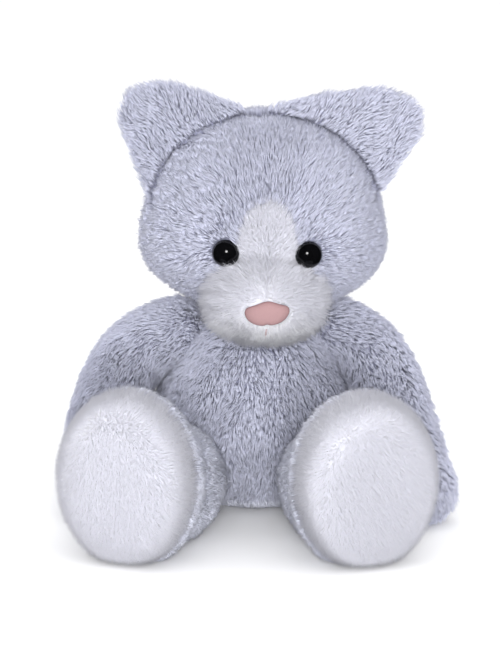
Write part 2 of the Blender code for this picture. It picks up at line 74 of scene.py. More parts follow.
TORSO_CENTRE = (0, 0, 0.052)
BELLY = Lump((0, 0.002, 0.042), (0.054, 0.050, 0.049))
CHEST = Lump((0, 0.003, 0.076), (0.037, 0.034, 0.027))
TORSO_SOFTNESS = 0.12
BASE_SEAM_Z = 0.010
SIDE_SEAM_Y = 0.004

# Everything on the head is measured from the top of the neck, before the head rolls and turns.
NECK = Vector((0.0017, 0.004, 0.106))
NECK_GATHER = (0.0200, 0.0190, 0.0060)  # radii of the ring of gathered cloth
HEAD_ROLL = math.radians(1.5)
HEAD_TURN = math.radians(2)
CRANIUM = Lump((0, -0.006, 0.055), (0.058, 0.053, 0.047))
CHEEKS = Lump((0, -0.010, 0.035), (0.0605, 0.048, 0.032))
MUZZLE = Lump((0, -0.050, 0.0105), (0.0272, 0.026, 0.0195))
HEAD_SOFTNESS = 0.10
MUZZLE_AXIS = Vector((0, -0.90, -0.44)).normalized()
MUZZLE_SEAM = 0.0575  # distance from the cranium's centre along that axis
EAR_SEAM_Y = -0.016
NOSE_BRIDGE = (0, -0.075, 0.022)
MUZZLE_FRONT = (0, -0.076, 0.011)
# Half width of the blaze at heights above the neck.
BLAZE_HEIGHTS = (0.0285, 0.0320, 0.0360, 0.0450, 0.0530, 0.0570, 0.0600, 0.0620)
BLAZE_HALVES = (0.0220, 0.0165, 0.0147, 0.0134, 0.0117, 0.0097, 0.0065, 0.0000)
CHIN_APEX_Z = 0.066
CHIN_SPREAD = 0.403  # half width of the chin panel for each metre below its apex

EYE_RADIUS = 0.0070
EYE_DOME = 0.0055
EYE_REACH = 0.020  # how far into the head an eye clears the pile
EYE_SPREAD = 0.0208
EYE_HEIGHT = 0.0365
EYE_STANDOFF = 0.0012
EYE_POST_RADIUS = 0.0018
EYE_POST_TOP = 0.0070  # depth of the first of two barbs under the dome's edge
EYE_POST_END = 0.0125
EYE_BARB_RADIUS = 0.0022
EYE_BARB_PITCH = 0.0024
NOSE_SIZE = (0.0225, 0.0042, 0.0125)
NOSE_HEIGHT = 0.0095
NOSE_ROOT_Y = -0.05  # pile behind this isn't near the nose
NOSE_BEND = 0.022  # radius that the nose bends round the muzzle with
NOSE_BLUNTNESS = 2.5  # 2 is an ellipse, and more is squarer

EAR_BASE = 0.080
EAR_LENGTH = {"left": 0.0635, "right": 0.0670}
EAR_BURIED = 0.0270
EAR_THICKNESS = 0.012
EAR_CUP = 0.006
EAR_SWEEP = 0.010
EAR_TAPER = 0.74
EAR_TAPER_POWER = 1.15
EAR_LEAN = {"left": math.radians(38), "right": math.radians(48)}
EAR_TILT = math.radians(6)
# Painted shade: the bare cloth of this strip takes the dark colour of the grey roots and shows as a
# crease.
EAR_CREASE = 0.0028  # strip without pile at the root of an ear
EAR_PLACE = (0.0395, -0.016, 0.0895)

# Arms and tail follow Bezier curves from their joints. The arms' are written for +X.
SHOULDER = (0.042, 0.0, 0.091)
ARM_RADIUS = 0.0155
PAW_RADIUS = 0.0172
ARM_CURVES = {
    "left": (
        (0, 0, 0),
        (0.036, -0.005, -0.005),
        (0.041, -0.018, -0.044),
        (0.041, -0.036, -0.0735),
    ),
    "right": (
        (0, 0, 0),
        (0.0305, -0.005, -0.008),
        (0.030, -0.026, -0.044),
        (0.0415, -0.049, -0.0735),
    ),
}

HIP = {"left": (0.034, -0.040, 0.024), "right": (0.031, -0.041, 0.024)}
HIP_RADIUS = 0.016
LEG_SPLAY = {"left": math.radians(23), "right": math.radians(16)}
CALF = Lump((0, -0.036, 0.003), (0.026, 0.036, 0.028))
FOOT = Lump((0, -0.075, 0.0165), (0.0335, 0.031, 0.0415))
LEG_SOFTNESS = 0.14
SOLE_FRONT = 0.0920
SOLE_ROUNDING = 0.009
SOLE_SEAM = 0.0770
SOLE_BLEND = 0.006  # width over which the leg's pile turns into the sole's

TAIL_ROOT = (0.0085, 0.0515, 0.0160)
TAIL_RADIUS = 0.0105
TAIL_CURVE = ((0, 0, 0), (0.008, 0.022, -0.003), (0.030, 0.024, -0.004), (0.052, 0.014, -0.004))
TAIL_SEAM_Z = -0.001

SIDES = {"left": -1, "right": 1}  # as seen from the front

CLOTH_DEPTH = 0.0005  # the backing cloth's outer face, below the pressed pile
CLOTH_THICKNESS = 0.0010
CLOTH_LUMPS = 0.0004
CLOTH_LUMP_SIZE = 0.012
HIDDEN_DEPTH = 0.001  # deeper than this inside a neighbour no hair grows
HAIR_ROOT = 0.0003  # below the cloth's outer face
HAIR_RADIUS = 0.00017
LENGTH_SPREAD = (0.75, 1.12)
RADIUS_SPREAD = (0.7, 1.25)
STRAY = 0.16  # how far single hairs lean off their brushing
LIFT_STRAY = 6  # degrees
LIFT_RANGE = (8, 85)
ROOT_RISE = 0.35  # radians that a hair's lower half stands steeper
TIP_FALL = 0.30
TUFT_SIZE = 0.007  # across patches that stand a little steeper or flatter
TUFT_RISE = 0.20
PULL_SPREAD = (0.6, 1.2)
WHITE_DENSITY = 6.5  # hairs on a square millimetre
WHITE_FINENESS = 0.65
MUZZLE_PILE = 0.0068
SOLE_PILE = 0.0062
FLOOR_LIFT = 0.0003
FLOOR_RADIUS = 30

SEARCH_REACH = 0.13  # no lump of a form reaches this far from the form's centre

CAMERA_TARGET = Vector((-0.004, 0, 0.090))
CAMERA_ELEVATION = math.radians(12)
CAMERA_DISTANCE = 1.0

MM2 = 1e-6

# ------------------------------------------------------------------- colours


def linear(red, green, blue):
    """A display colour from 0 to 255 as the linear one that shaders take."""
    parts = [c / 255 for c in (red, green, blue)]
    return tuple(c / 12.92 if c <= 0.04045 else ((c + 0.055) / 1.055) ** 2.4 for c in parts)


class Graph:
    """A material's nodes, made one call at a time."""

    def __init__(self, name):
        self.material = bpy.data.materials.new(name)
        self.material.use_nodes = True
        self.tree = self.material.node_tree
        self.shader = self.tree.nodes["Principled BSDF"]

    def node(self, kind, **settings):
        made = self.tree.nodes.new("ShaderNode" + kind)
        for key, value in settings.items():
            setattr(made, key, value)
        return made

    def link(self, source, target):
        self.tree.links.new(source, target)

    def set(self, **values):
        for key, value in values.items():
            self.shader.inputs[key.replace("_", " ")].default_value = value

    def position(self):
        return self.node("TexCoord").outputs["Object"]

    def attribute(self, name):
        return self.node("Attribute", attribute_name=name).outputs["Fac"]

    def noise(self, scale, detail=3.0, roughness=0.55):
        made = self.node("TexNoise")
        made.inputs["Scale"].default_value = scale
        made.inputs["Detail"].default_value = detail
        made.inputs["Roughness"].default_value = roughness
        self.link(self.position(), made.inputs["Vector"])
        return made.outputs["Fac"]

    def ramp(self, factor, *stops):
        """Stops are (place, colour)."""
        made = self.node("ValToRGB")
        elements = made.color_ramp.elements
        while len(elements) < len(stops):
            elements.new(0.5)
        for element, (place, colour) in zip(elements, stops):
            element.position = place
            element.color = (*colour, 1)
        self.link(factor, made.inputs["Fac"])
        return made.outputs["Color"]

    def scaled(self, value, low, high):
        made = self.node("MapRange")
        made.inputs["To Min"].default_value = low
        made.inputs["To Max"].default_value = high
        self.link(value, made.inputs["Value"])
        return made.outputs["Result"]

    def times(self, first, second):
        made = self.node("Math", operation="MULTIPLY")
        self.link(first, made.inputs[0])
        self.link(second, made.inputs[1])
        return made.outputs["Value"]

    def brightened(self, colour, factor):
        made = self.node("HueSaturation")
        self.link(colour, made.inputs["Color"])
        self.link(factor, made.inputs["Value"])
        return made.outputs["Color"]

    def bump(self, height, strength, distance):
        made = self.node("Bump")
        made.inputs["Strength"].default_value = strength
        made.inputs["Distance"].default_value = distance
        self.link(height, made.inputs["Height"])
        self.link(made.outputs["Normal"], self.shader.inputs["Normal"])


def pile_material(name, contrast, root, middle, tip):
    """Brushed fibre whose colour runs from root to tip: painted shade at the grey roots, painted
    light at the white roots; each tuft and hair a little lighter or darker.
    """
    graph = Graph(name)
    along = graph.ramp(graph.attribute("shade"), (0.0, root), (0.45, middle), (1.0, tip))
    tuft = graph.scaled(graph.attribute("tuft"), 1 - contrast, 1 + contrast * 0.6)
    patches = graph.scaled(graph.noise(70, 2), 1 - contrast * 0.8, 1 + contrast * 0.8)
    colour = graph.brightened(along, graph.times(tuft, patches))
    graph.link(colour, graph.shader.inputs["Base Color"])
    graph.set(Roughness=0.85, Sheen_Weight=0.15, Sheen_Roughness=0.5, Specular_IOR_Level=0.1)
    return graph.material


def cloth_material(name, low, high, grain, roughness=(0.75, 0.95), bump=0.3):
    """Anything fibrous or matt: a mottled colour, an uneven finish and a fine relief."""
    graph = Graph(name)
    mottle = graph.noise(grain, 4)
    graph.link(graph.ramp(mottle, (0.3, low), (0.7, high)), graph.shader.inputs["Base Color"])
    graph.link(graph.scaled(mottle, *roughness), graph.shader.inputs["Roughness"])
    graph.set(Sheen_Weight=0.15, Specular_IOR_Level=0.3)
    graph.bump(graph.noise(grain * 3, 3), bump, 0.0003)
    return graph.material


def eye_material():
    graph = Graph("gloss_black")
    smears = graph.noise(160, 4)
    colour = graph.ramp(smears, (0.3, linear(4, 4, 5)), (0.8, linear(9, 9, 11)))
    graph.link(colour, graph.shader.inputs["Base Color"])
    graph.link(graph.scaled(smears, 0.05, 0.11), graph.shader.inputs["Roughness"])
    graph.set(Specular_IOR_Level=0.3)
    return graph.material


def nose_material():
    """Brushed suede, with painted shade where its edge turns under."""
    graph = Graph("suede")
    nap = graph.noise(900, 4, 0.65)
    ramp = graph.ramp(
        graph.attribute("shade"),
        (0.0, linear(100, 68, 70)),
        (0.5, linear(137, 108, 109)),
        (1.0, linear(146, 117, 118)),
    )
    colour = graph.brightened(ramp, graph.scaled(nap, 0.92, 1.08))
    graph.link(colour, graph.shader.inputs["Base Color"])
    graph.link(graph.scaled(nap, 0.8, 0.95), graph.shader.inputs["Roughness"])
    graph.set(Sheen_Weight=0.1, Specular_IOR_Level=0.2)
    graph.bump(nap, 0.35, 0.0002)
    return graph.material


# The dark roots of the grey piles are painted shade, for the shade that falls between the hairs.
GREY_PILE = pile_material(
    "grey_pile", 0.10, linear(150, 152, 173), linear(198, 200, 218), linear(210, 212, 228)
)
# Painted light: the white roots are lighter than the tips, to lift the shade that falls between the
# hairs.
WHITE_PILE = pile_material(
    "white_pile", 0.02, linear(252, 252, 254), linear(224, 224, 233), linear(220, 220, 230)
)
# Painted light: a lighter copy of the grey pile for the legs and the base, standing in for light
# that falls on them.
PAINTED_LIT_GREY_PILE = pile_material(
    "painted_lit_grey_pile", 0.07, linear(188, 190, 208), linear(222, 224, 238), linear(232, 234, 246)
)
PAINTED_LIT_PANELS = ("leg_", "base_")
WHITE_PANELS = ("muzzle", "blaze", "chin", "sole")
# Place on the white ramp that colours the white cloth, away from the painted light of the white
# roots.
WHITE_CLOTH_SHADE = 0.6
FINISHES = {
    "polyester_fibre": cloth_material("fibre", linear(225, 226, 228), linear(246, 246, 246), 300),
    "grey_thread": cloth_material("thread_grey", linear(120, 124, 140), linear(160, 163, 178), 900),
    "pink_thread": cloth_material("thread_pink", linear(150, 104, 106), linear(190, 140, 140), 900),
    "pouch_cloth": cloth_material("cotton", linear(205, 202, 194), linear(226, 224, 216), 700),
    "washer_plastic": cloth_material(
        "moulded_plastic", linear(226, 226, 222), linear(236, 236, 233), 120, (0.4, 0.55), 0.08
    ),
}
EYE_BLACK = eye_material()
NOSE_SUEDE = nose_material()

# --------------------------------------------------------------------- forms


def unit(vectors):
    return vectors / np.maximum(np.linalg.norm(vectors, axis=-1, keepdims=True), 1e-12)


def fade(values, start, width):
    """0 up to the start, then rising to 1 over the width."""
    return np.clip((values - start) / width, 0, 1)


def icosphere(subdivisions):
    bm = bmesh.new()
    bmesh.ops.create_icosphere(bm, subdivisions=subdivisions, radius=1)
    points = unit(np.array([vert.co for vert in bm.verts]))
    faces = np.array([[vert.index for vert in face.verts] for face in bm.faces])
    bm.free()
    return points, faces


BALL_POINTS, BALL_FACES = icosphere(subdivisions=5)


def moved(points, matrix):
    matrix = np.array(matrix)
    return points @ matrix[:3, :3].T + matrix[:3, 3]


def turned(vectors, matrix):
    return vectors @ np.array(matrix)[:3, :3].T


def point_normals(points, faces):
    corners = points[faces]
    across = np.cross(corners[:, 1] - corners[:, 0], corners[:, 2] - corners[:, 0])
    total = np.zeros_like(points)
    for k in range(3):
        np.add.at(total, faces[:, k], across)
    return unit(total)


class Form:
    """A closed skin in the row frame, pressed flat where it would pass the floor.

    Local holds the coordinates that its panels are cut by, brushed the way its pile lies at
    each point, and inside a test of whether row-frame points lie deeper in it than a depth.
    """

    def __init__(self, body, points, local, brushed, inside):
        self.body = body
        self.points = points
        self.points[:, 2] = np.maximum(points[:, 2], 0)
        self.faces = BALL_FACES
        self.normals = point_normals(self.points, self.faces)
        self.local = local
        self.brushed = brushed
        self.inside = inside


def lump_field(points, lumps, softness, shrink=0.0):
    """Above 0 inside the smooth union of the ellipsoids."""
    total = -1.0
    for centre, radii in lumps:
        reach = np.linalg.norm((points - centre) / (np.array(radii) - shrink), axis=1)
        total = total + np.exp((1 - reach) / softness)
    return total


def lump_surface(centre, lumps, softness):
    """Where rays from the centre leave the lumps, along the ball's points."""
    outer = np.full(len(BALL_POINTS), SEARCH_REACH)
    searching = np.ones(len(BALL_POINTS), bool)
    while searching.any():
        outer[searching] -= 0.001
        field = lump_field(centre + BALL_POINTS * outer[:, None], lumps, softness)
        searching &= (field < 0) & (outer > 0)
    low, high = outer, outer + 0.001
    for _ in range(12):
        middle = (low + high) / 2
        within = lump_field(centre + BALL_POINTS * middle[:, None], lumps, softness) > 0
        low = np.where(within, middle, low)
        high = np.where(within, high, middle)
    return centre + BALL_POINTS * low[:, None]


def lump_test(lumps, softness, matrix):
    """The inside test of a form that is made of lumps."""
    back = np.array(Matrix(matrix).inverted())
    return lambda points, depth: lump_field(moved(points, back), lumps, softness, depth) > 0


def bezier(points, t):
    a, b, c, d = (np.array(p) for p in points)
    s = 1 - t
    return a * s**3 + b * (3 * s * s * t) + c * (3 * s * t * t) + d * t**3


def bezier_direction(points, t):
    a, b, c, d = (np.array(p) for p in points)
    s = 1 - t
    return unit((b - a) * (s * s) + (c - b) * (2 * s * t) + (d - c) * (t * t))


def limb_form(body, place, curve, root_radius, tip_radius):
    """A sausage along a Bezier line with round ends. Local: share along it, then its own frame."""
    chords = np.diff(bezier(curve, np.linspace(0, 1, 21)[:, None]), axis=0)
    length = np.linalg.norm(chords, axis=1).sum()
    root_arc, tip_arc = root_radius * math.pi / 2, tip_radius * math.pi / 2
    along = np.arccos(np.clip(BALL_POINTS[:, 2], -1, 1)) / math.pi
    around = np.arctan2(BALL_POINTS[:, 1], BALL_POINTS[:, 0])
    travel = along * (root_arc + length + tip_arc)
    t = np.clip((travel - root_arc) / length, 0, 1)
    ease = t * t * (3 - 2 * t)
    root_turn = np.minimum(travel, root_arc) / root_radius
    tip_turn = np.maximum(travel - root_arc - length, 0) / tip_radius
    shift = tip_radius * np.sin(tip_turn) - root_radius * np.cos(root_turn)
    radius = root_radius + (tip_radius - root_radius) * ease
    radius = radius * np.sin(root_turn) * np.cos(tip_turn)
    forward = bezier_direction(curve, t[:, None])
    side = unit(np.cross(forward, (0, 1, 0)))
    other = np.cross(side, forward)
    ring = side * np.cos(around)[:, None] + other * np.sin(around)[:, None]
    local = bezier(curve, t[:, None]) + forward * shift[:, None] + ring * radius[:, None]
    spine = bezier(curve, np.linspace(0, 1, 24)[:, None]) + place

    def inside(points, depth):
        gaps = np.linalg.norm(points[:, None] - spine[None], axis=2)
        return gaps.min(axis=1) < min(root_radius, tip_radius) - depth

    return Form(body, local + place, local, forward, inside)


def torso_form():
    lumps = (BELLY, CHEST)
    points = lump_surface(TORSO_CENTRE, lumps, TORSO_SOFTNESS)
    outward = unit(points - TORSO_CENTRE)
    brushed = np.array((0, 0, -1.0)) + 0.25 * outward
    inside = lump_test(lumps, TORSO_SOFTNESS, Matrix.Identity(4))
    return Form("torso", points, points, brushed, inside)


HEAD_FRAME = Matrix.Translation(NECK) @ Euler((0, HEAD_ROLL, HEAD_TURN)).to_matrix().to_4x4()
HEAD_LUMPS = (CRANIUM, CHEEKS, MUZZLE)


def head_form():
    """The pile lies away from the bridge of the nose, and hangs a little at the sides."""
    local = lump_surface(CRANIUM.centre, HEAD_LUMPS, HEAD_SOFTNESS)
    away = unit(local - NOSE_BRIDGE)
    hang = fade(local[:, 1], start=-0.045, width=0.06)[:, None]
    brushed = turned(away + np.array((0, 0, -0.75)) * hang, HEAD_FRAME)
    inside = lump_test(HEAD_LUMPS, HEAD_SOFTNESS, HEAD_FRAME)
    return Form("head", moved(local, HEAD_FRAME), local, brushed, inside)


def ear_narrowing(rise):
    """Share of the base's width left at a share of the ear's length."""
    return 1 - EAR_TAPER * rise**EAR_TAPER_POWER


def ear_form(side, sign):
    """A cupped triangular pad. Local is the unit ball that it is bent from."""
    x, y, z = BALL_POINTS.T
    rise = np.clip((z + 1) / 2, 0, 1)
    radial = np.sqrt(np.maximum(1 - z * z, 1e-9))
    across = x / radial * EAR_BASE / 2 * ear_narrowing(rise) * np.minimum(1, radial * 1.5)
    cup = EAR_CUP * (across / (EAR_BASE / 2)) ** 2
    depth = y * EAR_THICKNESS / 2 * (1.1 - 0.35 * rise) - cup
    height = rise * EAR_LENGTH[side] - EAR_BURIED
    bent = np.stack([across + sign * EAR_SWEEP * rise * rise, depth, height], axis=1)
    place = Matrix.Translation((sign * EAR_PLACE[0], EAR_PLACE[1], EAR_PLACE[2]))
    matrix = HEAD_FRAME @ place @ Euler((EAR_TILT, sign * EAR_LEAN[side], 0)).to_matrix().to_4x4()
    fan = np.stack([0.35 * across / EAR_BASE, 0 * across, 0 * across + 1], axis=1)
    back = np.array(matrix.inverted())

    def inside(points, depth):
        own = moved(points, back)
        share = np.clip((own[:, 2] + EAR_BURIED) / EAR_LENGTH[side], 0, 1)
        half = EAR_BASE / 2 * ear_narrowing(share) - depth
        level = own[:, 1] + EAR_CUP * (own[:, 0] / (EAR_BASE / 2)) ** 2
        within = np.abs(own[:, 0] - sign * EAR_SWEEP * share**2) < half
        return within & (np.abs(level) < EAR_THICKNESS / 2 - depth) & (share > 0) & (share < 1)

    return Form(f"ear_{side}", moved(bent, matrix), BALL_POINTS, turned(fan, matrix), inside)


def neck_form():
    """The gathered cloth between head and torso. No other pile has to keep clear of it."""
    points = BALL_POINTS * NECK_GATHER + np.array(NECK)
    away = BALL_POINTS * (1, 1, 0.2)
    return Form("neck", points, BALL_POINTS, away, inside=None)


def leg_form(side, sign):
    """A bent leg whose foot ends in a flattened sole."""
    splay = Matrix.Rotation(sign * LEG_SPLAY[side], 4, "Z")
    hip = HIP[side]
    matrix = Matrix.Translation((hip[0] * sign, hip[1], hip[2])) @ splay
    lumps = (Lump((0, 0, 0), (HIP_RADIUS,) * 3), CALF, FOOT)
    centre = np.array(CALF.centre) + (0, -0.008, 0.004)
    local = lump_surface(centre, lumps, LEG_SOFTNESS)
    past = np.maximum(0, -local[:, 1] - SOLE_FRONT + SOLE_ROUNDING)
    local[:, 1] += past - SOLE_ROUNDING * np.tanh(past / SOLE_ROUNDING)
    backwards = np.array((0, 1.0, -0.6))
    spread = unit((local - FOOT.centre) * (1, 0, 1)) + np.array((0, 0.5, 0))
    on_sole = fade(-local[:, 1] - SOLE_SEAM, start=-0.004, width=SOLE_BLEND)[:, None]
    brushed = turned(backwards * (1 - on_sole) + spread * on_sole, matrix)
    inside = lump_test(lumps, LEG_SOFTNESS, matrix)
    return Form(f"leg_{side}", moved(local, matrix), local, brushed, inside)


def arm_form(side, sign):
    curve = [(x * sign, y, z) for x, y, z in ARM_CURVES[side]]
    place = np.array((SHOULDER[0] * sign, SHOULDER[1], SHOULDER[2]))
    return limb_form(f"arm_{side}", place, curve, ARM_RADIUS, PAW_RADIUS)


# -------------------------------------------------------------------- panels


def torso_panels(local):
    x, y, z = local.T
    names = np.where(y < SIDE_SEAM_Y, "torso_front", "torso_back").astype("<U24")
    names = np.char.add(names, np.where(x < 0, "_left", "_right"))
    return np.where(z < BASE_SEAM_Z, "base_panel", names)


def head_panels(local):
    """Face and back on either side, with the white panels over the face."""
    x, y, z = local.T
    side = np.where(x < 0, "_left", "_right")
    front = y < EAR_SEAM_Y
    names = np.char.add(np.where(front, "face", "head_back").astype("<U24"), side)
    blaze = np.abs(x) < np.interp(z, BLAZE_HEIGHTS, BLAZE_HALVES, left=0, right=0)
    chin = (np.abs(x) < CHIN_SPREAD * (CHIN_APEX_Z - z)) & (z < MUZZLE.centre[2])
    names = np.where(front & blaze, "blaze_panel", names)
    names = np.where(front & chin, "chin_panel", names)
    axis = np.array(MUZZLE_AXIS)
    seam = axis * MUZZLE_SEAM + CRANIUM.centre
    muzzle = (local - seam) @ axis > 0
    return np.where(muzzle, np.char.add("muzzle", side), names)


def ear_panels(side):
    return lambda local: np.where(local[:, 1] < 0, f"ear_front_{side}", f"ear_back_{side}")


def arm_panels(side, sign):
    curve = [Vector((x * sign, y, z)) for x, y, z in ARM_CURVES[side]]
    across = np.array((curve[3] - curve[0]).cross(Vector((sign, 0, 0))).normalized())
    across = across if across[1] < 0 else -across
    return lambda local: np.where(local @ across > 0, f"arm_front_{side}", f"arm_back_{side}")


def leg_panels(side, sign):
    seam_normal = unit(np.array((0, 1, -0.10)))

    def names(local):
        inner = np.where(local[:, 0] * sign < 0, f"leg_inner_{side}", f"leg_outer_{side}")
        sole = (local - (0, -SOLE_SEAM, 0)) @ seam_normal < 0
        return np.where(sole, f"sole_{side}", inner)

    return names


def tail_panels(local):
    return np.where(local[:, 2] > TAIL_SEAM_Z, "tail_upper", "tail_lower")


# ---------------------------------------------------------------------- pile


def ripple(points, size, seed):
    """Smooth noise from about -1 to 1 in three channels, with features of that size."""
    rng = np.random.default_rng(seed)
    total = np.zeros((len(points), 3))
    for _ in range(10):
        wave = unit(rng.normal(size=3)) * (2 * math.pi / size) * rng.uniform(0.6, 1.6)
        total += np.sin(points @ wave + rng.uniform(0, 6.3))[:, None] * rng.normal(size=3)
    return total / 3.2


def scatter(form, density, rng):
    """Evenly spread random roots, denser where density per square metre is higher."""
    corners = form.points[form.faces]
    across = np.cross(corners[:, 1] - corners[:, 0], corners[:, 2] - corners[:, 0])
    area = np.linalg.norm(across, axis=1) / 2
    running = np.cumsum(area * density)
    count = int(running[-1])
    places = (np.arange(count) + rng.random(count)) * running[-1] / count
    face = np.minimum(np.searchsorted(running, places), len(form.faces) - 1)
    root = np.sqrt(rng.random(count))
    split = rng.random(count)
    weights = np.stack([1 - root, root * (1 - split), root * split], axis=1)
    return form.faces[face], weights


def mixed(values, faces, weights):
    return (values[faces] * weights[:, :, None]).sum(axis=1)


def nearest(points, guides):
    tree = KDTree(len(guides))
    for i, guide in enumerate(guides):
        tree.insert(guide, i)
    tree.balance()
    return np.array([tree.find(point)[1] for point in points])


def plant(form, coat, avoid, rng):
    """Roots in random order, each with its local place, its normal and how it is brushed."""
    centres = form.points[form.faces].mean(axis=1)
    local_centres = form.local[form.faces].mean(axis=1)
    faces, weights = scatter(form, coat.density(centres, local_centres), rng)
    root = mixed(form.points, faces, weights)
    local = mixed(form.local, faces, weights)
    normal = unit(mixed(form.normals, faces, weights))
    brushed = unit(mixed(form.brushed, faces, weights))
    keep = coat.keep(root, local)
    for other, depth in avoid:
        keep &= ~other.inside(root, depth)
    order = rng.permutation(keep.sum())
    return [values[keep][order] for values in (root, local, normal, brushed)]


class Pile:
    """The hairs of one form: root, middle and tip of each, and what colours them."""

    def __init__(self, form, coat, avoid, seed):
        """Avoid holds the forms, each with a depth, that no hair grows inside."""
        rng = np.random.default_rng(seed)
        root, self.local, normal, brushed = plant(form, coat, avoid, rng)
        tousle = coat.tousle(root, self.local)
        self.grow(root, normal, brushed, tousle, coat, rng, seed)
        self.gather(root, tousle, coat.clumps, rng)
        self.root = root - normal * (CLOTH_DEPTH + HAIR_ROOT)
        # Where painted light lifts a shaded underside, the hairs keep their root colour all along.
        self.darkening = 1 - coat.painted_underlight(self.local)
        spread = rng.uniform(*RADIUS_SPREAD, len(root))
        self.width = HAIR_RADIUS * coat.thickness(root, self.local) * spread
        # Hairs that would pass the floor lie on it, at slightly different heights.
        for line in (self.middle, self.tip):
            line[:, 2] = np.maximum(line[:, 2], FLOOR_LIFT + 0.0004 + 0.0008 * rng.random(len(root)))

    def grow(self, root, normal, brushed, tousle, coat, rng, seed):
        """Lays each hair along its brushing, steep at the root and flatter at the tip."""
        length, lift, brushed = coat.groom(root, self.local, normal, brushed)
        length = length * rng.uniform(*LENGTH_SPREAD, len(root))
        sway = coat.swirl * ripple(root, coat.swirl_size, seed + 1) * tousle[:, None]
        lean = brushed + sway + rng.normal(scale=STRAY, size=root.shape)
        lean -= normal * (lean * normal).sum(axis=1)[:, None]
        lean = unit(lean)
        steep = np.radians(np.clip(lift + rng.normal(scale=LIFT_STRAY, size=len(root)), *LIFT_RANGE))
        steep = steep + TUFT_RISE * tousle * ripple(root, TUFT_SIZE, seed + 2)[:, 0]
        low_arc = np.clip(steep + ROOT_RISE, 0.1, 1.5)[:, None]
        high_arc = np.clip(steep - TIP_FALL, 0.02, 1.5)[:, None]
        half = length[:, None] / 2
        self.middle = root + half * (normal * np.sin(low_arc) + lean * np.cos(low_arc))
        self.tip = self.middle + half * (normal * np.sin(high_arc) + lean * np.cos(high_arc))

    def gather(self, root, tousle, clumps, rng):
        """Pulls the hairs towards the leaders of their clumps, and gives each clump a tone."""
        self.tuft = 0.5 * rng.random(len(root))
        for share, pull, tightness, tone in clumps:
            count = max(1, int(len(root) * share))
            guide = nearest(root, root[:count])
            offset = root - root[guide]
            amount = (pull * tousle * rng.uniform(*PULL_SPREAD, len(root)))[:, None]
            self.middle += amount * 0.6 * (self.middle[guide] + offset * 0.55 - self.middle)
            self.tip += amount * (self.tip[guide] + offset * tightness - self.tip)
            self.tuft += tone * rng.random(count)[guide]

    def hairs(self, chosen, straight):
        """Closed three-sided tapering hairs, with a bend halfway unless they are straight."""
        root, middle, tip = self.root[chosen], self.middle[chosen], self.tip[chosen]
        forward = unit(tip - root)
        # An odd direction, which no hair runs along.
        side = unit(np.cross(forward, (0.3, 0.5, 0.8)))
        other = np.cross(forward, side)
        width = self.width[chosen][:, None]
        rings = [(root, 1.0)] if straight else [(root, 1.0), (middle, 0.85)]
        corners = []
        for centre, share in rings:
            for k in range(3):
                angle = k * 2 * math.pi / 3
                spoke = side * math.cos(angle) + other * math.sin(angle)
                corners.append(centre + spoke * width * share)
        corners.append(tip)
        points = np.stack(corners, axis=1)
        points[:, :, 2] = np.maximum(points[:, :, 2], FLOOR_LIFT * 0.5)
        last = len(corners) - 1
        pattern = [(0, 2, 1)]
        for k in range(3):
            n = (k + 1) % 3
            if not straight:
                pattern += [(k, n, 3 + n), (k, 3 + n, 3 + k)]
            pattern.append((last - 3 + k, last - 3 + n, last))
        count = len(root)
        faces = np.arange(count)[:, None, None] * (last + 1) + np.array(pattern)[None]
        along = (0, 0, 0, 1.0) if straight else (0, 0, 0, 0.5, 0.5, 0.5, 1.0)
        shade = np.outer(self.darkening[chosen], along).ravel()
        tuft = np.repeat(self.tuft[chosen], last + 1)
        return points.reshape(-1, 3), faces.reshape(-1, 3), shade, tuft


# -------------------------------------------------------------------- pieces


def cloth_shell(form, chosen):
    """The backing cloth of one panel: its faces, an inner side and walls round the edge."""
    used, index = np.unique(form.faces[chosen], return_inverse=True)
    faces = index.reshape(-1, 3)
    lumps = CLOTH_LUMPS * ripple(form.points[used], CLOTH_LUMP_SIZE, seed=5)[:, :1]
    outer = form.points[used] - form.normals[used] * (CLOTH_DEPTH + np.abs(lumps))
    inner = outer - form.normals[used] * CLOTH_THICKNESS
    outer[:, 2] = np.maximum(outer[:, 2], FLOOR_LIFT)
    inner[:, 2] = np.maximum(inner[:, 2], FLOOR_LIFT + CLOTH_THICKNESS)
    ends = np.concatenate([faces[:, [0, 1]], faces[:, [1, 2]], faces[:, [2, 0]]])
    directed = {tuple(pair) for pair in ends.tolist()}
    open_ends = [pair for pair in ends.tolist() if (pair[1], pair[0]) not in directed]
    rim = np.array(open_ends, int).reshape(-1, 2)
    count = len(used)
    walls = np.concatenate(
        [
            np.stack([rim[:, 1], rim[:, 0], rim[:, 0] + count], axis=1),
            np.stack([rim[:, 1], rim[:, 0] + count, rim[:, 1] + count], axis=1),
        ]
    )
    faces = np.concatenate([faces, faces[:, ::-1] + count, walls])
    return np.concatenate([outer, inner]), faces


def add_mesh(name, points, faces, material, shade, tuft, uv):
    """An object of triangles, with what its material reads at each point."""
    mesh = bpy.data.meshes.new(name)
    mesh.vertices.add(len(points))
    mesh.vertices.foreach_set("co", points.astype(np.float32).ravel())
    mesh.loops.add(faces.size)
    mesh.loops.foreach_set("vertex_index", faces.astype(np.int32).ravel())
    mesh.polygons.add(len(faces))
    mesh.polygons.foreach_set("loop_start", np.arange(0, faces.size, 3, dtype=np.int32))
    mesh.update(calc_edges=True)
    for title, values in (("shade", shade), ("tuft", tuft)):
        layer = mesh.attributes.new(title, "FLOAT", "POINT")
        layer.data.foreach_set("value", values.astype(np.float32))
    layer = mesh.uv_layers.new(name="OFBake")
    layer.uv.foreach_set("vector", uv[faces.ravel()].astype(np.float32).ravel())
    mesh.materials.append(material)
    mesh.shade_smooth()
    obj = bpy.data.objects.new(name, mesh)
    bpy.context.scene.collection.objects.link(obj)
    return obj


CLOTH_STRIP = 0.2  # share of the texture's width that the backing cloth takes
UV_MARGIN = 0.005


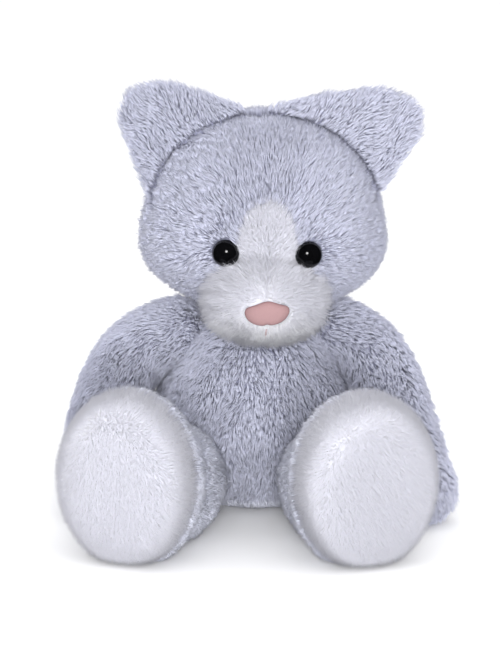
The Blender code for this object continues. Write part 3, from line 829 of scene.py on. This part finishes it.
def cloth_uv(points):
    """The panel seen along its widest faces, outer side below and inner side above."""
    flat = np.argsort(np.ptp(points, axis=0))[1:]
    low, size = points.min(axis=0)[flat], np.ptp(points, axis=0)[flat]
    uv = (points[:, flat] - low) / size
    uv[:, 0] = UV_MARGIN + uv[:, 0] * (CLOTH_STRIP - 2 * UV_MARGIN)
    half = len(points) // 2
    uv[:, 1] = UV_MARGIN + uv[:, 1] * (0.5 - 2 * UV_MARGIN)
    uv[half:, 1] += 0.5
    return uv


def hair_uv(count, straight):
    """One cell of a grid for each hair, root at its foot and tip at its top."""
    columns = math.ceil(math.sqrt(count * (1 - CLOTH_STRIP)))
    rows = math.ceil(count / columns)
    cell = np.array(((1 - CLOTH_STRIP) / columns, 1 / rows))
    corner = np.stack([np.arange(count) % columns, np.arange(count) // columns], axis=1) * cell
    corner[:, 0] += CLOTH_STRIP
    spots = [(0.15, 0.1), (0.5, 0.1), (0.85, 0.1)]
    spots += [] if straight else [(0.15, 0.5), (0.5, 0.5), (0.85, 0.5)]
    spots += [(0.5, 0.9)]
    return (corner[:, None] + np.array(spots)[None] * cell).reshape(-1, 2)


def pile_material_of(node):
    # The legs and the base take the lighter copy of the grey pile, which is painted light.
    if node.startswith(WHITE_PANELS):
        return WHITE_PILE
    return PAINTED_LIT_GREY_PILE if node.startswith(PAINTED_LIT_PANELS) else GREY_PILE


def dress(form, panels, pile, bare, extra=False):
    """Makes one piece for each panel of a form: its cloth with its share of the hairs.

    Bare holds the forms, each with a depth, that leave no cloth inside them. An extra form
    stands for no node of the frame.
    """
    centres = form.points[form.faces].mean(axis=1)
    shown = np.ones(len(centres), bool)
    for other, depth in bare:
        shown &= ~other.inside(centres, depth)
    face_names = panels(form.local[form.faces].mean(axis=1))
    hair_names = panels(pile.local)
    for node in sorted(set(face_names)):
        white = node.startswith(WHITE_PANELS)
        own_hairs = hair_names == node
        cloth, faces = cloth_shell(form, shown & (face_names == node))
        points, hairs, shade, tuft = pile.hairs(own_hairs, straight=white)
        piece = add_mesh(
            node + "_plush",
            np.concatenate([cloth, points]),
            np.concatenate([faces, hairs + len(cloth)]),
            pile_material_of(node),
            # Painted shade: the grey cloth takes the dark colour of the grey roots and shows as
            # shaded creases where the pile is sparse.
            np.concatenate([np.full(len(cloth), WHITE_CLOTH_SHADE if white else 0.0), shade]),
            np.concatenate([np.full(len(cloth), 0.5), tuft]),
            np.concatenate([cloth_uv(cloth), hair_uv(own_hairs.sum(), straight=white)]),
        )
        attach(piece, form.body)
        if not extra:
            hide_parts(node)
        print(node, own_hairs.sum(), "hairs", len(faces) + len(hairs), "triangles")


# --------------------------------------------------------------------- coats


class Coat:
    """How the pile of one form grows.

    Length is in metres, and lift in degrees above the cloth. Front and rear are the hairs on
    a square millimetre of the side that faces front and of the side that faces back.
    """

    swirl = 0.35
    swirl_size = 0.022
    # Share of hairs that lead a clump, pull towards the leader, spread left at the tip, tone.
    clumps = ((0.22, 0.62, 0.18, 0.3), (0.015, 0.20, 0.5, 0.2))

    def __init__(self, length=0.0072, lift=38, front=2.5, rear=1.2):
        self.length = length
        self.lift = lift
        self.front = front
        self.rear = rear

    def behind(self, points):
        """0 on the side that faces front, 1 towards the back."""
        return fade(points[:, 1], start=-0.005, width=0.02)

    def density(self, points, local):
        return (self.front + (self.rear - self.front) * self.behind(points)) / MM2

    def thickness(self, points, local):
        """Share of the usual hair radius."""
        return 1 + 0.35 * self.behind(points)

    def tousle(self, points, local):
        """How far the hairs gather in tufts and stray from their brushing."""
        return np.ones(len(points))

    def painted_underlight(self, local):
        """1 where the whole hair has the colour of its root, as painted light that lifts a shaded
        underside.
        """
        return np.zeros(len(local))

    def keep(self, root, local):
        return np.ones(len(root), bool)

    def groom(self, root, local, normal, brushed):
        """Length, lift and brushed direction of each hair."""
        count = len(root)
        return np.full(count, self.length), np.full(count, float(self.lift)), brushed


def surface_spot(x, z):
    """Point and normal on the face, in the head's frame, straight in from the front."""
    low, high = -SEARCH_REACH, CRANIUM.centre[1]
    for _ in range(30):
        middle = (low + high) / 2
        if lump_field(np.array([(x, middle, z)]), HEAD_LUMPS, HEAD_SOFTNESS)[0] > 0:
            high = middle
        else:
            low = middle
    spot = np.array((x, low, z))
    nudges = np.eye(3) * 1e-5
    field = lump_field(np.concatenate([spot + nudges, spot - nudges]), HEAD_LUMPS, HEAD_SOFTNESS)
    return Vector(spot), Vector(field[3:] - field[:3]).normalized()


def eye_seat(sign):
    """The frame of a dome's edge, which looks further to the front than the face does."""
    spot, normal = surface_spot(sign * EYE_SPREAD, EYE_HEIGHT)
    aim = (normal + Vector((0, -0.8, 0))).normalized()
    turn = aim.to_track_quat("Z", "Y").to_matrix().to_4x4()
    return Matrix.Translation(spot + aim * EYE_STANDOFF) @ turn


def nose_seat():
    spot, normal = surface_spot(0, NOSE_HEIGHT)
    aim = (normal + Vector((0, -0.5, 0.1))).normalized()
    turn = aim.to_track_quat("Y", "Z").to_matrix().to_4x4()
    return Matrix.Translation(spot + aim * NOSE_SIZE[1] * 0.35) @ turn


EYE_SEATS = {sign: np.array(eye_seat(sign).inverted()) for sign in SIDES.values()}
NOSE_SEAT = np.array(nose_seat().inverted())


class HeadCoat(Coat):
    """Fine and close on the white panels, smooth on the brow, more tousled on the left cheek."""

    def white(self, local):
        names = head_panels(local)
        return np.any([np.char.startswith(names, start) for start in WHITE_PANELS], axis=0)

    def left_cheek(self, local):
        """0 on the blaze and to its right, 1 on the left cheek."""
        return fade(-local[:, 0], start=0.012, width=0.02)

    def muzzle_edge(self, local):
        """0 round the nose, 1 on the rim of the muzzle and under the chin."""
        gap = np.linalg.norm((local - MUZZLE_FRONT)[:, [0, 2]], axis=1)
        return fade(gap, start=0.016, width=0.008) * (local[:, 2] < BLAZE_HEIGHTS[0])

    def density(self, points, local):
        grey = super().density(points, local)
        return np.where(self.white(local), (WHITE_DENSITY - 2 * self.muzzle_edge(local)) / MM2, grey)

    def thickness(self, points, local):
        grey = super().thickness(points, local) * (0.85 + 0.2 * self.left_cheek(local))
        return np.where(self.white(local), WHITE_FINENESS + 0.3 * self.muzzle_edge(local), grey)

    def tousle(self, points, local):
        white = 0.15 + 1.05 * self.muzzle_edge(local)
        return np.where(self.white(local), white, 0.65 + 0.6 * self.left_cheek(local))

    # Painted light: the white hairs under the muzzle and chin keep their light root colour, lifting
    # the shade under the head.
    def painted_underlight(self, local):
        return self.white(local) * fade(-local[:, 2], start=-0.010, width=0.014)

    def on_nose(self, local):
        """Distance from the middle of the nose, where 1 is its edge."""
        own = moved(local, NOSE_SEAT) / (np.array(NOSE_SIZE) / 2)
        return np.hypot(own[:, 0], own[:, 2])

    def keep(self, root, local):
        kept = np.ones(len(root), bool)
        for seat in EYE_SEATS.values():
            own = moved(local, seat)
            outside = np.linalg.norm(own[:, :2], axis=1) > EYE_RADIUS * 0.97
            kept &= outside | (own[:, 2] < -EYE_REACH)
        return kept & ((self.on_nose(local) > 0.93) | (local[:, 1] > NOSE_ROOT_Y))

    def groom(self, root, local, normal, brushed):
        length, lift, brushed = super().groom(root, local, normal, brushed.copy())
        white = self.white(local)
        edge = self.muzzle_edge(local)[white]
        length[white] = MUZZLE_PILE + 0.0037 * edge
        lift[white] = 34 + 16 * edge
        self.clear_eyes(root, local, length, lift, brushed)
        self.clear_nose(root, local, length, brushed)
        return length, lift, brushed

    def clear_eyes(self, root, local, length, lift, brushed):
        """Shorter hairs round the eyes, which part away from them on their outer sides."""
        for sign, seat in EYE_SEATS.items():
            own = moved(local, seat)
            gap = np.linalg.norm(own[:, :2], axis=1) - EYE_RADIUS
            near = np.exp(-np.maximum(gap, 0) / 0.004) * (own[:, 2] > -EYE_REACH)
            centre = np.array(HEAD_FRAME @ Matrix(seat).inverted().translation)
            outer = np.clip(((root - centre) @ (sign, 0, 0.5)) / 0.006 + 0.3, 0, 1)
            length *= 1 - near * (0.1 + 0.4 * outer)
            brushed += unit(root - centre) * (1.2 * near * outer)[:, None]
            lift += near * (30 * outer - 12)

    def clear_nose(self, root, local, length, brushed):
        """Shorter hairs round the nose, brushed away from it."""
        near = np.exp(-np.maximum(self.on_nose(local) - 1, 0) / 0.5)
        near *= local[:, 1] < NOSE_ROOT_Y
        length *= 1 - 0.25 * near
        nose = np.array(HEAD_FRAME @ nose_seat().translation)
        brushed += unit(root - nose) * (1.5 * near)[:, None]


class LegCoat(Coat):
    """Short, smooth and fine on the sole, whose rim spills back over the seam."""

    def sole(self, local):
        return local[:, 1] < -SOLE_SEAM

    def groom(self, root, local, normal, brushed):
        """Down the middle of the sole, outwards on its rim, and backwards along the leg."""
        sole = fade(-local[:, 1], SOLE_SEAM, SOLE_BLEND)
        across = (local[:, 0] / 0.028) ** 2 + ((local[:, 2] - FOOT.centre[2]) / 0.036) ** 2
        middle = (np.exp(-(across**1.5)) * sole)[:, None]
        length = self.length - (self.length - SOLE_PILE) * sole
        downwards = np.array((0.5, 0, -1.0))
        return length, self.lift - 8 * sole, brushed * (1 - middle) + downwards * middle

    def density(self, points, local):
        return np.where(self.sole(local), WHITE_DENSITY / MM2, super().density(points, local))

    def thickness(self, points, local):
        return np.where(self.sole(local), WHITE_FINENESS, super().thickness(points, local))

    def tousle(self, points, local):
        return np.where(self.sole(local), 0.1, 0.6)


# --------------------------------------------------------------- small parts


def add_smooth(name, points, faces, material, shade=None):
    """A piece without pile."""
    points, faces = np.array(points, float), np.array(faces)
    shade = np.full(len(points), 0.5) if shade is None else shade
    return add_mesh(name, points, faces, material, shade, shade, cloth_uv(points))


def revolved(profile, steps):
    """Closed surface turned about Z from (radius, height) points whose ends lie on the axis."""
    points = [(0, 0, profile[0][1])]
    for radius, height in profile[1:-1]:
        for k in range(steps):
            angle = 2 * math.pi * k / steps
            points.append((radius * math.cos(angle), radius * math.sin(angle), height))
    points.append((0, 0, profile[-1][1]))
    faces, last = [], len(points) - 1
    rings = len(profile) - 2
    for k in range(steps):
        n = (k + 1) % steps
        faces.append((0, 1 + k, 1 + n))
        faces.append((last, last - steps + n, last - steps + k))
        for ring in range(rings - 1):
            a, b = 1 + ring * steps, 1 + (ring + 1) * steps
            faces += [(a + k, b + k, b + n), (a + k, b + n, a + n)]
    return np.array(points), np.array(faces)


def build_eye(side, sign):
    """A domed button eye with a rounded rim, on its post."""
    quarter = np.linspace(0, math.pi / 2, 20)
    dome = [(EYE_RADIUS * math.sin(a), EYE_DOME * math.cos(a)) for a in quarter]
    edge = ((0.0001, -0.0003), (0.0004, -0.0006), (0.0008, -0.0008))
    rim = [(EYE_RADIUS - inset, height) for inset, height in edge]
    post = [(0.0024, -0.0009), (EYE_POST_RADIUS, -0.0012)]
    for i in range(2):
        top = -EYE_POST_TOP - i * EYE_BARB_PITCH
        post += [(EYE_POST_RADIUS, top), (EYE_BARB_RADIUS, top - 0.0010)]
        post += [(EYE_POST_RADIUS, top - 0.0012)]
    post += [(EYE_POST_RADIUS, 0.0001 - EYE_POST_END), (0, -EYE_POST_END)]
    points, faces = revolved([*dome, *rim, *post], 64)
    points = moved(points, HEAD_FRAME @ eye_seat(sign))
    eye = add_smooth(f"eye_{side}_gloss", points, faces, EYE_BLACK)
    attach(eye, "head")
    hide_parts(f"eye_{side}")


def build_nose():
    """A padded suede triangle with rounded corners, its edge turned under."""
    x, y, z = BALL_POINTS.T
    around = np.arctan2(z, x)
    powers = np.abs(np.cos(around)) ** NOSE_BLUNTNESS + np.abs(np.sin(around)) ** NOSE_BLUNTNESS
    blunt = powers ** (-1 / NOSE_BLUNTNESS)
    x, z = x * blunt, z * blunt
    pinch = 1 - 0.12 * np.maximum(0, -z)
    lobes = np.where(z < 0, 1 - 0.10 * np.exp(-((x / 0.12) ** 2)), 0.86 + 0.12 * np.cos(4.6 * x))
    height = NOSE_SIZE[2] / 2 * z * lobes - 0.0007 * x
    across = x * NOSE_SIZE[0] / 2
    depth = y * NOSE_SIZE[1] / 2 - across**2 / (2 * NOSE_BEND)
    points = moved(np.stack([across * pinch, depth, height], axis=1), HEAD_FRAME @ nose_seat())
    # Painted shade: darkest where the suede turns under at its edge and behind, and darker along its
    # top.
    shade = np.clip(y * 1.3, 0, 1) * (1 - 0.5 * np.clip(z - 0.4, 0, 1))
    nose = add_smooth("nose_patch_suede", points, BALL_FACES, NOSE_SUEDE, shade)
    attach(nose, "head")
    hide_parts("nose_patch")


def finish_cad_nodes():
    """Threads, washers and the filling keep their solids and get their own finishes."""
    slots = {part["node"]: part["material_slot"] for part in frame["record"]["subparts"]}
    for node, obj in frame["nodes"].items():
        if obj.hide_render:
            continue
        obj.data.materials.clear()
        obj.data.materials.append(FINISHES[slots[node]])


# ------------------------------------------------------------ floor and light


def pale_floor():
    """White paper that catches a soft shadow and doesn't show in the eyes."""
    bm = bmesh.new()
    bmesh.ops.create_circle(bm, cap_ends=True, segments=96, radius=FLOOR_RADIUS)
    mesh = bpy.data.meshes.new("floor")
    bm.to_mesh(mesh)
    bm.free()
    graph = Graph("floor_paper")
    tone = graph.ramp(graph.noise(3, 2), (0.3, linear(249, 249, 250)), (0.7, linear(252, 252, 252)))
    graph.link(tone, graph.shader.inputs["Base Color"])
    graph.set(Roughness=0.95, Specular_IOR_Level=0.1)
    mesh.materials.append(graph.material)
    floor = bpy.data.objects.new("floor", mesh)
    floor.visible_glossy = False
    bpy.context.scene.collection.objects.link(floor)


def area_light(name, place, aim, size, power, glints=False):
    """A round lamp of that diameter and wattage, seen in the eyes only if it makes glints."""
    data = bpy.data.lights.new(name, "AREA")
    data.shape = "DISK"
    data.size = size
    data.energy = power
    lamp = bpy.data.objects.new(name, data)
    lamp.visible_glossy = glints
    lamp.location = place
    lamp.rotation_euler = (Vector(aim) - Vector(place)).to_track_quat("-Z", "Y").to_euler()
    bpy.context.scene.collection.objects.link(lamp)


def studio_light():
    """A bright surround, with three lamps that shape the forms."""
    world = bpy.data.worlds.new("studio")
    world.use_nodes = True
    world.node_tree.nodes["Background"].inputs["Color"].default_value = (0.99, 0.99, 1, 1)
    world.node_tree.nodes["Background"].inputs["Strength"].default_value = 1.15
    world.cycles_visibility.glossy = False
    bpy.context.scene.world = world
    middle = (0, 0, 0.10)
    area_light("overhead", (0.15, -0.20, 1.30), middle, size=0.90, power=1.5)
    area_light("low", (0.10, -1.05, 0.04), middle, size=0.40, power=8.0)
    area_light("front", (-0.02, -1.14, 0.37), middle, size=0.30, power=6.0, glints=True)


def add_camera():
    back = Vector((0, -math.cos(CAMERA_ELEVATION), math.sin(CAMERA_ELEVATION)))
    data = bpy.data.cameras.new("camera")
    data.lens = 100
    data.sensor_width = 36
    data.clip_start = 0.05
    data.clip_end = 60
    camera = bpy.data.objects.new("camera", data)
    camera.location = CAMERA_TARGET + back * CAMERA_DISTANCE
    camera.rotation_euler = (-back).to_track_quat("-Z", "Y").to_euler()
    bpy.context.scene.collection.objects.link(camera)
    bpy.context.scene.camera = camera


# ----------------------------------------------------------------------- cat


def build_coats():
    """Hairs keep out of neighbouring forms, so that no pile hides inside the toy."""
    torso = torso_form()
    head = head_form()
    ears = {side: ear_form(side, sign) for side, sign in SIDES.items()}
    arms = {side: arm_form(side, sign) for side, sign in SIDES.items()}
    legs = {side: leg_form(side, sign) for side, sign in SIDES.items()}
    tail = limb_form("tail", np.array(TAIL_ROOT), TAIL_CURVE, TAIL_RADIUS, TAIL_RADIUS)
    limbs = [*arms.values(), *legs.values(), tail]
    torso_avoid = [(form, HIDDEN_DEPTH) for form in [*limbs, head]]
    pile = Pile(torso, Coat(), torso_avoid, seed=10)
    dress(torso, torso_panels, pile, [(limb, 0.0) for limb in limbs])
    head_avoid = [(torso, HIDDEN_DEPTH), *[(ear, 0.0) for ear in ears.values()]]
    dress(head, head_panels, Pile(head, HeadCoat(), head_avoid, seed=20), [])
    neck = neck_form()
    neck_coat = Coat(length=0.0060, front=2.0, rear=2.0)
    pile = Pile(neck, neck_coat, [(head, 0.0), (torso, 0.0)], seed=25)
    dress(neck, lambda local: np.full(len(local), "neck_gather"), pile, [], extra=True)
    in_torso = [(torso, HIDDEN_DEPTH)]
    for i, (side, sign) in enumerate(SIDES.items()):
        ear_coat = Coat(length=0.0070, lift=34)
        pile = Pile(ears[side], ear_coat, [(head, -EAR_CREASE)], seed=30 + i)
        dress(ears[side], ear_panels(side), pile, [(head, 0.0005)])
        pile = Pile(arms[side], Coat(), in_torso, seed=40 + i)
        dress(arms[side], arm_panels(side, sign), pile, [])
        pile = Pile(legs[side], LegCoat(length=0.0075), in_torso, seed=50 + i)
        dress(legs[side], leg_panels(side, sign), pile, [])
    tail_coat = Coat(length=0.0080, front=1.8, rear=1.8)
    dress(tail, tail_panels, Pile(tail, tail_coat, in_torso, seed=60), [])


build_coats()
for eye_side, eye_sign in SIDES.items():
    build_eye(eye_side, eye_sign)
build_nose()
finish_cad_nodes()
pale_floor()
studio_light()
add_camera()
bpy.context.scene.view_settings.view_transform = "Standard"
